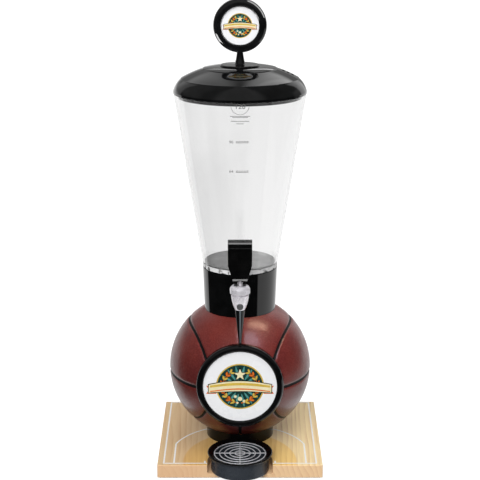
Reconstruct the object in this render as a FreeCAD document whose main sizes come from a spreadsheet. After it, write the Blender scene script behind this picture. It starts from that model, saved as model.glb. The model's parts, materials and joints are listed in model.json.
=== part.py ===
"""Table-top drinks tower: a clear tapered vessel with a domed lid and a round sign, on a black collar with a
lever tap, a ball-shaped base, a drip tray and a square wooden board.  Millimetres, +Z up, front at -Y.
The origin is the centre of the base pad's underside, on the axis that ball, collar, vessel and lid share."""
import FreeCAD, Part
import math
import os
import re
import Sketcher

Vector, Rotation = FreeCAD.Vector, FreeCAD.Rotation
TURN_X, TURN_Y = Vector(1, 0, 0), Vector(0, 1, 0)
TO_FRONT = Rotation(TURN_X, 90)     # carries +Z to -Y, for pieces that face the front
TO_BACK = Rotation(TURN_X, -90)     # carries +Z to +Y
TO_RIGHT = Rotation(TURN_Y, 90)     # carries +Z to +X
UPRIGHT = Rotation()

DIMENSIONS = {
    # board, pad and the pocket that holds the tray
    "pad_thick": 2, "pad_half": 114, "board_half": 117.5, "board_thick": 19, "board_round": 1.2,
    "pocket_half": 46.5, "pocket_depth": 12.7, "tray_reach": 102,
    "counterbore_radius": 14, "counterbore_depth": 10,
    # ball and its foot ring
    "ball_radius": 103.5, "ball_height": 129, "ball_wall": 4, "ball_mouth": 44, "ball_sole": 30,
    "flat_reach": 83, "foot_outer": 49.6, "foot_inner": 36,
    # badge on the ball
    "badge_outer": 62, "badge_open": 52.2, "badge_deep": 9.5, "badge_screw_circle": 38,
    # collar
    "collar_foot": 51.6, "collar_top": 53.9, "collar_wall": 3, "collar_end": 282, "collar_floor": 3.5,
    # drain well and the vessel on it
    "well_outer": 44, "well_wall": 3, "well_base": 246, "gasket_thick": 1, "ring_thick": 4, "ring_inner": 47,
    "vessel_top_radius": 93.1, "vessel_top": 533.5, "vessel_wall": 2.6, "flange_thick": 1.2,
    "strainer_thick": 1.5, "strainer_radius": 51.2, "strainer_hole": 3, "strainer_hole_circle": 12,
    # lid and sign
    "lid_radius": 93.6, "lid_base": 534, "lid_top": 571,
    "skirt_outer": 87, "skirt_wall": 3, "skirt_drop": 5.5,
    "vent_wide": 3.2, "vent_long": 13, "vent_pitch": 6.4,
    "sign_height": 627, "sign_outer": 37.1, "sign_open": 26.2, "sign_half": 8.5, "flange_radius": 27.6,
    # tap
    "tap_reach": 104, "shank_height": 264.5, "shank_radius": 7.2, "shank_bore": 4.5, "shank_end": 26,
    "body_foot": 249, "body_foot_radius": 7, "body_top": 270.5, "body_radius": 12.4, "neck_radius": 10.8,
    "seat_rise": 9.5, "screw_rise": 6.2, "screw_seat": 8.2,
    "head_base": 272, "head_top": 284, "head_radius": 14, "stem_radius": 3, "running_gap": 0.05,
    "pivot_height": 289, "pin_radius": 1.5, "cam_drop": 4.7, "cam_lead": 4, "cam_reach": 7.9,
    "handle_top": 350, "handle_half": 16.5, "handle_taper": 313, "handle_foot": 292, "handle_foot_half": 10,
    "leg_outer": 8.3, "leg_inner": 3.5, "spout_tip": 200.5, "spout_radius": 7.1, "tip_radius": 1.9,
    "spring_radius": 5, "spring_wire": 0.5, "spring_turns": 5, "spring_foot": 266, "spring_head": 280,
    # tie rod and shank fasteners
    "rod_radius": 4, "rod_hole": 4.5, "rod_end": 238, "washer_thick": 1.6, "washer_radius": 12,
    "nut_thick": 6.5, "nut_corner": 7.5,
    # drip tray, which stands in the pocket
    "rest_gap": 0.3, "tray_foot": 41.5, "tray_rim": 46.2, "tray_top": 35.8, "tray_wall": 2.5,
    "grille_radius": 36.5, "grille_wire": 0.7, "grille_height": 32.5,
}

doc = FreeCAD.newDocument("drinks_tower")
sheet = doc.addObject("Spreadsheet::Sheet", "Dims")
for line, (name, size) in enumerate(DIMENSIONS.items(), start=1):
    sheet.set(f"A{line}", name)
    sheet.set(f"B{line}", str(size))
    sheet.setAlias(f"B{line}", name)
doc.recompute()

ALIASES = re.compile(r"\b(" + "|".join(DIMENSIONS) + r")\b")
pieces = {}


def bound(text):
    """The expression with each alias read from the sheet."""
    return ALIASES.sub(r"Dims.\1", str(text))


def value(text):
    return float(sheet.evalExpression(bound(text)))


def bind(thing, **sizes):
    for prop, text in sizes.items():
        thing.setExpression(prop, bound(text))


def place(thing, at, turn=UPRIGHT):
    thing.Placement = FreeCAD.Placement(Vector(0, 0, 0), turn)
    for axis, text in zip("xyz", at):
        thing.setExpression("Placement.Base." + axis, bound(text))
    return thing


def keep(node, thing):
    """Make a finished piece one of the tower's nodes."""
    thing.Label = node
    pieces[node] = thing
    return thing


# ---- sketches and bodies ----

def arc_between(start, end, radius):
    """An arc from start to end; a positive radius bulges to the right of the way it goes."""
    chord = end - start
    across = Vector(-chord.y, chord.x, 0) / chord.Length
    height = math.sqrt(radius * radius - chord.Length ** 2 / 4)
    centre = (start + end) / 2 + across * math.copysign(height, radius)
    first, last = (start, end) if radius > 0 else (end, start)
    angles = [math.atan2(p.y - centre.y, p.x - centre.x) for p in (first, last)]
    if angles[1] < angles[0]:
        angles[1] += 2 * math.pi
    return Part.ArcOfCircle(Part.Circle(centre, Vector(0, 0, 1), abs(radius)), *angles)


def pin_down(sketch, edge, point, corner):
    """Hold a corner at its two bound distances from the sketch's origin."""
    for kind, axis, text in (("DistanceX", -2, corner[0]), ("DistanceY", -1, corner[1])):
        size = value(text)
        if size == 0:
            sketch.addConstraint(Sketcher.Constraint("PointOnObject", edge, point, axis))
            continue
        number = sketch.addConstraint(Sketcher.Constraint(kind, -1, 1, edge, point, size))
        sketch.setExpression(f"Constraints[{number}]", bound(text))


def draw(sketch, corners):
    """A closed outline: each corner is (x, y) after a straight edge, or (x, y, radius) after an arc."""
    points = [Vector(value(corner[0]), value(corner[1]), 0) for corner in corners]
    edges = []
    for index, start in enumerate(points):
        after = (index + 1) % len(points)
        end, corner = points[after], corners[after]
        if len(corner) == 2:
            edges.append((sketch.addGeometry(Part.LineSegment(start, end)), 1, 2, None))
            continue
        radius = value(corner[2])
        edge = sketch.addGeometry(arc_between(start, end, radius))
        first, last = (1, 2) if radius > 0 else (2, 1)
        edges.append((edge, first, last, corner[2]))
    for index, (edge, first, last, radius) in enumerate(edges):
        follower, follower_first = edges[(index + 1) % len(edges)][:2]
        sketch.addConstraint(Sketcher.Constraint("Coincident", edge, last, follower, follower_first))
    for (edge, first, last, radius), corner in zip(edges, corners):
        pin_down(sketch, edge, first, corner)
        if radius:
            number = sketch.addConstraint(Sketcher.Constraint("Radius", edge, abs(value(radius))))
            sketch.setExpression(f"Constraints[{number}]", bound(f"abs({radius})"))


def sketched_body(name, plane, corners):
    body = doc.addObject("PartDesign::Body", name)
    origin_plane = next(face for face in body.Origin.OriginFeatures if face.Role == plane)
    sketch = body.newObject("Sketcher::SketchObject", name + "_outline")
    sketch.AttachmentSupport = (origin_plane, [""])
    sketch.MapMode = "FlatFace"
    draw(sketch, corners)
    return body, sketch


def turned(name, corners, at=("0", "0", "0"), turn=UPRIGHT):
    """A turned piece: corners are (radius, height) about the body's own Z axis."""
    body, sketch = sketched_body(name, "XZ_Plane", corners)
    revolution = body.newObject("PartDesign::Revolution", name + "_turn")
    revolution.Profile = sketch
    revolution.ReferenceAxis = (sketch, ["V_Axis"])
    revolution.Angle = 360
    return place(body, at, turn)


def slab(name, plane, corners, thick, at=("0", "0", "0"), both_ways=False):
    """A flat piece: an outline on one of the body's planes, padded to its thickness."""
    body, sketch = sketched_body(name, plane, corners)
    pad = body.newObject("PartDesign::Pad", name + "_pad")
    pad.Profile = sketch
    pad.Midplane = both_ways
    bind(pad, Length=thick)
    return place(body, at)


def rounded(body, radius, picks):
    """Round the edges of a body's tip that picks() names."""
    doc.recompute()
    base = body.Tip
    names = [f"Edge{number}" for number, edge in enumerate(base.Shape.Edges, start=1) if picks(edge)]
    fillet = body.newObject("PartDesign::Fillet", body.Name + "_round")
    fillet.Base = (base, names)
    bind(fillet, Radius=radius)
    return body


def rectangle(half_x, low_y, high_y):
    return [(f"-({half_x})", low_y), (half_x, low_y), (half_x, high_y), (f"-({half_x})", high_y)]


# ---- primitives and booleans ----

def cylinder(name, radius, length, at=("0", "0", "0"), turn=UPRIGHT):
    rod = doc.addObject("Part::Cylinder", name)
    bind(rod, Radius=radius, Height=length)
    return place(rod, at, turn)


def block(name, size, at):
    box = doc.addObject("Part::Box", name)
    bind(box, Length=size[0], Width=size[1], Height=size[2])
    return place(box, at)


def hexagon(name, corner_radius, thick, at, turn=UPRIGHT):
    prism = doc.addObject("Part::Prism", name)
    prism.Polygon = 6
    bind(prism, Circumradius=corner_radius, Height=thick)
    return place(prism, at, turn)


def joined(name, *shapes):
    fusion = doc.addObject("Part::MultiFuse", name)
    fusion.Shapes = list(shapes)
    return fusion


def without(name, base, *tools):
    for number, tool in enumerate(tools, start=1):
        result = doc.addObject("Part::Cut", f"{name}_cut{number}")
        result.Base, result.Tool = base, tool
        base = result
    return base


def shared(name, first, second):
    common = doc.addObject("Part::Common", name)
    common.Base, common.Tool = first, second
    return common


def group(name, shapes):
    """Identical fasteners, kept as separate solids in one node."""
    compound = doc.addObject("Part::Compound", name)
    compound.Links = shapes
    return compound


# ---- base: pad, board, foot ring and the rod that ties them to the collar ----

BOARD_TOP = "(pad_thick + board_thick)"
POCKET_FLOOR = f"({BOARD_TOP} - pocket_depth)"


def base_pad():
    keep("base_pad", slab("pad", "XY_Plane", rectangle("pad_half", "-pad_half", "pad_half"), "pad_thick"))


def court_board():
    blank = slab("board", "XY_Plane", rectangle("board_half", "-board_half", "board_half"), "board_thick",
                 at=("0", "0", "pad_thick"))
    under = value("pad_thick") + 0.1
    rounded(blank, "board_round", lambda edge: edge.BoundBox.ZMax > under)
    pocket = slab("pocket", "XY_Plane", [
        ("-pocket_half", "-board_half - 1"), ("pocket_half", "-board_half - 1"),
        ("pocket_half", "-tray_reach"), ("-pocket_half", "-tray_reach", "pocket_half + 0.001")],
        "board_thick", at=("0", "0", POCKET_FLOOR))
    hole = cylinder("board_hole", "rod_hole", "board_thick", ("0", "0", "pad_thick"))
    counterbore = cylinder("board_counterbore", "counterbore_radius", "counterbore_depth",
                           ("0", "0", "pad_thick"))
    keep("court_board", without("court_board", blank, pocket, hole, counterbore))


def ball_surface(radius):
    """Height of the ball's surface above (or, negated root, below) its centre at a radius from the axis."""
    return f"sqrt(ball_radius^2 - ({radius})^2)"


def foot_ring():
    keep("foot_ring", turned("foot", [
        ("foot_inner", BOARD_TOP), ("foot_outer", BOARD_TOP),
        ("foot_outer", f"ball_height - {ball_surface('foot_outer')}"),
        ("foot_inner", f"ball_height - {ball_surface('foot_inner')}", "-ball_radius")]))


def tie_rod():
    low = "(pad_thick + 1.5)"
    keep("tie_rod", cylinder("rod", "rod_radius", f"rod_end - {low}", ("0", "0", low)))
    floor_top = f"({COLLAR_SEAT} + collar_floor)"
    ceiling = "(pad_thick + counterbore_depth)"
    washers, nuts = [], []
    ends = (("top", floor_top, f"{floor_top} + washer_thick"),
            ("low", f"{ceiling} - washer_thick", f"{ceiling} - washer_thick - nut_thick"))
    for name, washer_low, nut_low in ends:
        bore = cylinder(name + "_bore", "rod_radius", "3 * nut_thick", ("0", "0", f"{nut_low} - nut_thick"))
        washer = cylinder(name + "_washer", "washer_radius", "washer_thick", ("0", "0", washer_low))
        nut = hexagon(name + "_nut", "nut_corner", "nut_thick", ("0", "0", nut_low))
        washers.append(without(name + "_washer", washer, bore))
        nuts.append(without(name + "_nut", nut, bore))
    keep("tie_washers", group("washers", washers))
    keep("tie_nuts", group("nuts", nuts))


# ---- ball with its badge ----

def ball_shell():
    def flattened_ball(name, inset):
        sphere = doc.addObject("Part::Sphere", name)
        bind(sphere, Radius=f"ball_radius - {inset}")
        place(sphere, ("0", "0", "ball_height"))
        corner = ("-1.5 * ball_radius", f"-flat_reach + {inset} - ball_radius",
                  "ball_height - 1.5 * ball_radius")
        front = block(name + "_front", ("3 * ball_radius", "ball_radius", "3 * ball_radius"), corner)
        return without(name, sphere, front)

    mouth = cylinder("ball_mouth", "ball_mouth", "2 * ball_radius", ("0", "0", "ball_height"))
    sole = cylinder("ball_sole", "ball_sole", "ball_height", ("0", "0", "0"))
    holes = [cylinder(f"ball_screw_hole{number}", "1.1", "2 * ball_wall", at, TO_FRONT)
             for number, at in enumerate(badge_screw_places("-flat_reach + 1.5 * ball_wall"))]
    keep("ball_shell", without("ball_shell", flattened_ball("ball_outside", "0"),
                               flattened_ball("ball_inside", "ball_wall"), mouth, sole, *holes))


def badge_screw_places(y):
    reach = "badge_screw_circle * sqrt(0.5)"
    return [(f"{side} * {reach}", y, f"ball_height + {level} * {reach}")
            for side in (-1, 1) for level in (-1, 1)]


def badge():
    """Heights here are measured forward from the ball's flat."""
    centre = ("0", "-flat_reach", "ball_height")
    plate = turned("badge_plate", [
        ("0", "0"), ("badge_outer - 1.8", "0"), ("badge_outer - 1.8", "2.2"), ("badge_open + 1", "2.2"),
        ("badge_open + 1", "4.4"), ("badge_open - 3", "4.4"), ("badge_open - 3", "2.2"), ("0", "2.2")],
        centre, TO_FRONT)
    holes = [cylinder(f"badge_hole{number}", "1.5", "10", at, TO_FRONT)
             for number, at in enumerate(badge_screw_places("-flat_reach + 3"))]
    keep("badge_back", without("badge_back", plate, *holes))
    keep("badge_screws", group("badge_screws_group", [
        turned(f"badge_screw{number}", [
            ("0", "-ball_wall"), ("0.6", "-ball_wall"), ("1.1", "1 - ball_wall"), ("1.1", "2.2"),
            ("2.8", "2.2"), ("2.8", "3"), ("1.6", "3.9", "2.4"), ("0", "3.9")], at, TO_FRONT)
        for number, at in enumerate(badge_screw_places("-flat_reach"))]))
    keep("badge_disc", turned("badge_disc_body", [
        ("0", "4.4"), ("badge_open + 1.6", "4.4"), ("badge_open + 1.6", "6.4"), ("0", "6.4")],
        centre, TO_FRONT))
    keep("badge_bezel", turned("badge_bezel_body", [
        ("badge_outer - 1.7", "0"), ("badge_outer", "0"), ("badge_outer", "badge_deep - 5"),
        ("badge_outer - 5", "badge_deep", "5.2"), ("badge_open + 2.6", "badge_deep"),
        ("badge_open", "badge_deep - 2.2", "3"), ("badge_open", "6.5"), ("badge_open + 1.8", "6.5"),
        ("badge_open + 1.8", "4.4"), ("badge_outer - 1.7", "4.4")], centre, TO_FRONT))


# ---- collar with the drain well in it ----

COLLAR_SEAT = f"(ball_height + {ball_surface('ball_mouth')})"
COLLAR_TALL = f"(collar_end - ball_height - {ball_surface('collar_foot')})"
COLLAR_SLOPE = f"((collar_top - collar_foot) / {COLLAR_TALL})"
COLLAR_AT_SHANK = f"(collar_top - {COLLAR_SLOPE} * (collar_end - shank_height))"


def shank_cylinder(name, radius, start, end):
    """A cylinder on the shank's axis, from one distance in front of the tower's axis to a nearer one."""
    return cylinder(name, radius, f"({start}) - ({end})", ("0", f"-({start})", "shank_height"), TO_BACK)


def collar():
    foot = f"ball_height + {ball_surface('collar_foot')}"
    floor_top = f"{COLLAR_SEAT} + collar_floor"
    shell = turned("collar_body", [
        ("rod_hole", COLLAR_SEAT), ("ball_mouth", COLLAR_SEAT), ("collar_foot", foot, "-ball_radius"),
        ("collar_top", "collar_end"), ("collar_top - collar_wall", "collar_end"),
        ("collar_foot - collar_wall", floor_top), ("rod_hole", floor_top)])
    keep("collar", without("collar", shell, shank_cylinder("collar_hole", "shank_radius + 0.2", "60", "40")))


def drain_well():
    """A cup with a flange on top and a boss through which the tap's shank is clamped."""
    seat = "(collar_end + 2 * gasket_thick + ring_thick)"
    inner = "(well_outer - well_wall)"
    cup = turned("well_cup", [
        ("0", "well_base"), ("well_outer", "well_base"), ("well_outer", seat), ("50", seat),
        ("50", f"{seat} + flange_thick"), (inner, f"{seat} + flange_thick"), (inner, "well_base + well_wall"),
        ("0", "well_base + well_wall")])
    inside_collar = turned("collar_room", [
        ("0", "well_base"), ("collar_foot - collar_wall", "well_base"),
        ("collar_top - collar_wall - 0.1", "collar_end"), ("0", "collar_end")])
    boss = shared("well_boss", shank_cylinder("well_boss_blank", "11.5", "60", "38"), inside_collar)
    keep("drain_well", without("drain_well", joined("well_joined", cup, boss),
                               shank_cylinder("well_hole", "shank_radius + 0.1", "70", "30")))


def floor_pieces():
    ring = "(collar_end + gasket_thick + ring_thick)"
    keep("vessel_gasket", turned("vessel_gasket_body", [
        ("48", "collar_end"), ("collar_top - 0.6", "collar_end"),
        ("collar_top - 0.6", "collar_end + gasket_thick"), ("48", "collar_end + gasket_thick")]))
    keep("floor_gasket", turned("floor_gasket_body", [
        ("well_outer + 0.2", ring), ("50", ring), ("50", f"{ring} + gasket_thick"),
        ("well_outer + 0.2", f"{ring} + gasket_thick")]))
    low = f"({ring} + gasket_thick + flange_thick)"
    spigot = "(well_outer - well_wall - 0.3)"
    plate = turned("strainer_body", [
        ("0", low), (f"{spigot} - 2", low), (f"{spigot} - 2", f"{low} - 3"), (spigot, f"{low} - 3"),
        (spigot, low), ("strainer_radius", low), ("strainer_radius", f"{low} + strainer_thick"),
        ("0", f"{low} + strainer_thick")])
    drains = [cylinder(f"drain{number}", "strainer_hole", "6", (
        f"strainer_hole_circle * cos({60 * number}deg)", f"strainer_hole_circle * sin({60 * number}deg)",
        f"{low} - 2")) for number in range(6)]
    keep("strainer_plate", without("strainer_plate", plate, *drains))


# ---- vessel ----

def vessel():
    base = "(collar_end + gasket_thick)"
    ledge = f"({base} + ring_thick)"
    keep("vessel", turned("vessel_body", [
        ("ring_inner", base), ("collar_top", base), ("collar_top", ledge),
        ("vessel_top_radius", "vessel_top"),
        ("vessel_top_radius - vessel_wall", "vessel_top"), ("collar_top - vessel_wall", ledge),
        ("ring_inner", ledge)]))


# ---- lid and sign ----

def lid_shell():
    skirt_inner = "(skirt_outer - skirt_wall)"
    dome = turned("lid_dome", [
        ("4.1", "lid_top"), ("29", "lid_top"), ("51.7", "lid_top - 2.6", "-120"), ("52.7", "lid_top - 3.6"),
        ("81.5", "lid_base + 21", "-150"), ("83.2", "lid_base + 19.6", "-2.6"),
        ("lid_radius", "lid_base + 3", "-34"), ("lid_radius", "lid_base"), ("skirt_outer", "lid_base"),
        ("skirt_outer", "lid_base - skirt_drop"), (skirt_inner, "lid_base - skirt_drop"),
        (skirt_inner, "lid_base + 9"), ("77", "lid_base + 18"), ("50", "lid_top - 7.5", "150"),
        ("29", "lid_top - 3.5", "200"), ("4.1", "lid_top - 3.5")])
    slots = [block(f"vent{number}", ("vent_wide", "vent_long", "25"),
                   (f"59 + {number} * vent_pitch", "-0.5 * vent_long", "lid_top - 29"))
             for number in range(3)]
    keep("lid_shell", without("lid_shell", dome, *slots))


def sign_stem():
    """Round flange on the lid, a tapered stem over it, a stud through the lid and a tenon in the sign."""
    foot = "(sign_height - sign_outer)"
    keep("sign_stem", turned("stem_body", [
        ("0", "lid_top - 14"), ("4", "lid_top - 14"), ("4", "lid_top"), ("flange_radius", "lid_top"),
        ("flange_radius", "lid_top + 1.2"), ("flange_radius - 1.6", "lid_top + 2.4", "1.9"),
        ("8.2", "lid_top + 2.8"), ("7", "lid_top + 4", "-1.2"), ("4.4", f"{foot} - 0.1", "-120"),
        ("3", f"{foot} - 0.1"), ("3", f"{foot} + 6.5"), ("0", f"{foot} + 6.5")]))
    nut = hexagon("sign_nut_blank", "7.5", "5", ("0", "0", "lid_top - 8.5"))
    bore = cylinder("sign_nut_bore", "4", "9", ("0", "0", "lid_top - 10"))
    keep("sign_nut", without("sign_nut", nut, bore))


def sign_side(side, turn):
    """One half of the sign: a round frame with a web, and the disc under its lip."""
    centre = ("0", "0", "sign_height")
    ring = turned(f"sign_ring_{side}", [
        ("0", "0"), ("sign_outer", "0"), ("sign_outer", "3"), ("sign_outer - 5.5", "sign_half", "6"),
        ("sign_open + 2", "sign_half"), ("sign_open", "sign_half - 2", "2.4"), ("sign_open", "4.4"),
        ("sign_open + 2", "4.4"), ("sign_open + 2", "2.6"), ("0", "2.6")], centre, turn)
    seam_aside = Rotation(Vector(0, 0, 1), 90 if side == "front" else -90)
    socket = cylinder(f"sign_socket_{side}", "3", "10", ("0", "0", "sign_height - sign_outer - 3.5"),
                      seam_aside)
    keep(f"sign_frame_{side}", without(f"sign_frame_{side}", ring, socket))
    keep(f"sign_disc_{side}", turned(f"sign_face_{side}", [
        ("0", "2.6"), ("sign_open + 1.8", "2.6"), ("sign_open + 1.8", "4.3"), ("0", "4.3")], centre, turn))


# ---- tap ----

TAP = ("0", "-tap_reach", "0")
SEAT = "(body_foot + seat_rise)"
SCREW_HEIGHT = "body_foot + screw_rise"


def tap_body():
    bell = turned("bell", [
        ("0", "body_foot"), ("body_foot_radius", "body_foot"), ("body_radius", "body_top", "60"),
        ("neck_radius", "body_top"), ("neck_radius", "head_base + 6"), ("0", "head_base + 6")], TAP)
    chamber = turned("chamber", [
        ("0", "body_foot - 1"), ("4.5", "body_foot - 1"), ("4.5", f"{SEAT} - 1.5"), ("3.2", f"{SEAT} - 1.5"),
        ("3.2", SEAT), ("6.2", SEAT), ("8.6", f"{SEAT} + 6"), ("8.6", "head_base + 7"),
        ("0", "head_base + 7")], TAP)
    shank = shank_cylinder("shank", "shank_radius", "tap_reach - 5", "shank_end")
    flange = shank_cylinder("shank_flange", "11", "60", f"{COLLAR_AT_SHANK} + 3.5")
    bore = shank_cylinder("shank_bore_tool", "shank_bore", "tap_reach", "shank_end - 1")
    screw_hole = cylinder("spout_screw_hole", "1.6", "8", ("0", "-tap_reach - 4", SCREW_HEIGHT), TO_FRONT)
    spot_face = cylinder("spout_screw_seat", "4.9", "8",
                         ("0", "-tap_reach - screw_seat", SCREW_HEIGHT), TO_FRONT)
    keep("tap_body", without("tap_body", joined("tap_joined", bell, shank, flange),
                             chamber, bore, screw_hole, spot_face))


def tap_bonnet():
    keep("tap_bonnet", turned("bonnet_body", [
        ("neck_radius", "head_base"), ("head_radius - 1.2", "head_base"),
        ("head_radius", "head_base + 1.5", "1.9"), ("head_radius", "head_base + 7"),
        ("head_radius - 5", "head_top", "7"),
        ("stem_radius + running_gap", "head_top"), ("stem_radius + running_gap", "head_top - 0.8"),
        ("5.2", "head_top - 0.8"), ("5.2", "head_top - 3"), ("stem_radius + running_gap", "head_top - 3"),
        ("stem_radius + running_gap", "spring_head"), ("8.6", "spring_head"), ("8.6", "head_base + 6"),
        ("neck_radius", "head_base + 6")], TAP))
    ring = doc.addObject("Part::Torus", "stem_ring_body")
    bind(ring, Radius1="stem_radius + running_gap + 1.05", Radius2="1.05")
    keep("stem_ring", place(ring, ("0", "-tap_reach", "head_top - 1.9")))


def valve():
    stem = turned("valve_stem_body", [
        ("0", f"{SEAT} + 1.8"), ("2", f"{SEAT} + 1.8"), ("2", "spring_foot - 2"), ("6", "spring_foot - 2"),
        ("6", "spring_foot"), ("stem_radius", "spring_foot"), ("stem_radius", "pivot_height"),
        ("0", "pivot_height + stem_radius", "stem_radius")], TAP)
    eye = cylinder("stem_eye", "pin_radius", "20", ("-10", "-tap_reach", "pivot_height"), TO_RIGHT)
    keep("valve_stem", without("valve_stem", stem, eye))
    keep("valve_seal", turned("valve_seal_body", [
        ("0", f"{SEAT} + rest_gap"), ("5.2", f"{SEAT} + rest_gap"), ("5.6", f"{SEAT} + 1.8"),
        ("4", f"{SEAT} + 4"), ("2", f"{SEAT} + 4"), ("2", f"{SEAT} + 1.8"), ("0", f"{SEAT} + 1.8")], TAP))
    keep("handle_pin", cylinder("pin", "pin_radius", "2 * leg_outer - 0.4",
                                ("0.2 - leg_outer", "-tap_reach", "pivot_height"), TO_RIGHT))


def valve_spring():
    """A round-wire helix between the stem's shoulder and the bonnet, which it clears by the wire's radius."""
    wire, radius = value("spring_wire"), value("spring_radius")
    low = value("spring_foot + spring_wire + 0.05")
    rise = value("spring_head - spring_wire - 0.05") - low
    helix = Part.makeHelix(rise / value("spring_turns"), rise, radius)
    section = Part.Wire(Part.makeCircle(wire, Vector(radius, 0, 0), Vector(0, 1, 0)))
    spring = doc.addObject("Part::Feature", "spring")
    spring.Shape = Part.Wire(helix.Edges).makePipeShell([section], True, True)
    keep("valve_spring", place(spring, ("0", "-tap_reach", f"{low}")))


def tap_handle():
    """A paddle on two legs.  A leg's nose is a cam: the stem rises by cam_lead times the tilt in radians,
    so the nose is an involute, drawn here as one arc between its first and its last point of contact."""
    front = slab("handle_front", "XZ_Plane", [
        ("-leg_outer", "pivot_height - cam_drop - 2"), ("leg_outer", "pivot_height - cam_drop - 2"),
        ("leg_outer", "handle_foot - 1"), ("handle_foot_half", "handle_foot"),
        ("handle_half", "handle_taper"),
        ("handle_half", "handle_top"), ("-handle_half", "handle_top"), ("-handle_half", "handle_taper"),
        ("-handle_foot_half", "handle_foot"), ("-leg_outer", "handle_foot - 1")],
        "80", at=("0", "-tap_reach", "0"), both_ways=True)
    side = slab("handle_side", "YZ_Plane", [
        ("4.5", "pivot_height - cam_drop + 1"), ("4.5", "handle_foot + 3"),
        ("1.5", "handle_foot + 12", "-30"),
        ("-1.5", "handle_top - 2"), ("-3", "handle_top - 0.5", "1.5"), ("-15.2", "handle_top - 1.4", "60"),
        ("-16.8", "handle_top - 3.5"), ("-16.8", "handle_top - 9"), ("-15.8", "handle_top - 10", "1"),
        ("-8", "handle_top - 10.6"), ("-7.2", "handle_foot + 2.6"), ("-8.6", "handle_foot + 0.6"),
        ("-9", "handle_foot - 0.2", "1"), ("-9", "pivot_height - 1"),
        ("-cam_reach", "pivot_height - cam_drop + 1.5", "9"),
        ("-cam_lead", "pivot_height - cam_drop", "6.4"), ("3.5", "pivot_height - cam_drop")],
        "80", at=("0", "-tap_reach", "0"), both_ways=True)
    slot = block("handle_slot", ("2 * leg_inner", "40", "cam_drop + 3.4 + 3"),
                 ("-leg_inner", "-tap_reach - 20", "pivot_height - cam_drop - 3"))
    pin_hole = cylinder("handle_pin_hole", "pin_radius + running_gap", "40",
                        ("-20", "-tap_reach", "pivot_height"), TO_RIGHT)
    keep("tap_handle", without("tap_handle", shared("handle_blank", front, side), slot, pin_hole))


def spout():
    keep("spout", turned("spout_body", [
        ("1.2", "spout_tip"), ("tip_radius", "spout_tip"), ("spout_radius", "body_foot"),
        ("4.45", "body_foot"),
        ("4.45", f"{SEAT} - 1.7"), ("3.2", f"{SEAT} - 1.7"), ("3.2", "body_foot - 4")], TAP))
    keep("spout_screw", turned("spout_screw_body", [
        ("0", "4.6"), ("1.6", "4.6"), ("1.6", "screw_seat"), ("4.5", "screw_seat"),
        ("4.5", "screw_seat + 1.5"), ("3.2", "screw_seat + 2.5", "1.8"), ("0", "screw_seat + 2.5")],
        ("0", "-tap_reach", SCREW_HEIGHT), TO_FRONT))


def shank_clamp():
    """Saddle washer outside the collar, flat seal and nut inside the well."""
    collar_outside = turned("collar_outside", [
        ("0", "body_foot"), (f"{COLLAR_AT_SHANK} - {COLLAR_SLOPE} * (shank_height - body_foot)", "body_foot"),
        ("collar_top", "collar_end"), ("collar_top", "collar_end + 9"), ("0", "collar_end + 9")])
    washer = shank_cylinder("washer_blank", "10.5", f"{COLLAR_AT_SHANK} + 3.5", "45")
    keep("shank_washer", without("shank_washer", washer, collar_outside,
                                 shank_cylinder("washer_bore", "shank_radius", "70", "40")))
    seal_end = "36.5"
    keep("shank_seal", without("shank_seal", shank_cylinder("seal_blank", "11", "38", seal_end),
                               shank_cylinder("seal_bore", "shank_radius", "40", "30")))
    nut = hexagon("shank_nut_blank", "12.4", "6", ("0", f"-{seal_end}", "shank_height"), TO_BACK)
    keep("shank_nut", without("shank_nut", nut, shank_cylinder("shank_nut_bore", "shank_radius", "40", "25")))


# ---- drip tray ----

TRAY = ("0", "-tray_reach", "0")


def drip_tray():
    foot = f"({POCKET_FLOOR} + rest_gap)"
    shelf = "(grille_height - grille_wire - rest_gap)"
    keep("tray_cup", turned("tray_body", [
        ("0", foot), ("tray_foot - 1.5", foot), ("tray_foot", f"{foot} + 1.5", "1.5"),
        ("tray_foot - 1", "tray_top - 4.6"), ("tray_foot", "tray_top - 3.6", "-1"),
        ("tray_rim - 1", "tray_top - 2.6"),
        ("tray_rim", "tray_top - 1.4", "1"), ("tray_rim - 1.2", "tray_top", "1.5"),
        ("grille_radius + 1.6", "tray_top - 2.6"), ("grille_radius + 1.6", shelf),
        ("grille_radius - 1", shelf),
        ("grille_radius - 1", f"{shelf} - 2"), ("tray_foot - tray_wall - 1", f"{shelf} - 2"),
        ("tray_foot - tray_wall", f"{foot} + tray_wall"), ("0", f"{foot} + tray_wall")], TRAY))


def tray_grille():
    rings = []
    for number in range(1, 6):
        ring = doc.addObject("Part::Torus", f"grille_ring{number}")
        bind(ring, Radius1=f"grille_radius * {number} / 5", Radius2="grille_wire")
        rings.append(place(ring, ("0", "-tray_reach", "grille_height")))
    bars = [cylinder("grille_bar_x", "grille_wire", "2 * grille_radius",
                     ("-grille_radius", "-tray_reach", "grille_height"), TO_RIGHT),
            cylinder("grille_bar_y", "grille_wire", "2 * grille_radius",
                     ("0", "-tray_reach - grille_radius", "grille_height"), TO_BACK)]
    keep("tray_grille", joined("grille", *rings, *bars))


def build():
    base_pad()
    court_board()
    foot_ring()
    tie_rod()
    ball_shell()
    badge()
    collar()
    drain_well()
    floor_pieces()
    vessel()
    lid_shell()
    sign_stem()
    sign_side("front", TO_FRONT)
    sign_side("back", TO_BACK)
    tap_body()
    tap_bonnet()
    valve()
    valve_spring()
    tap_handle()
    spout()
    shank_clamp()
    drip_tray()
    tray_grille()
    doc.recompute()


def check():
    for thing in doc.Objects:
        if {"Invalid", "Error"} & set(thing.State):
            raise RuntimeError(f"{thing.Label} did not compute: {thing.State}")
    for node, thing in pieces.items():
        if thing.Shape.isNull() or not thing.Shape.isValid() or thing.Shape.Volume < 1:
            raise RuntimeError(f"{node} has no valid shape")


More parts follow.
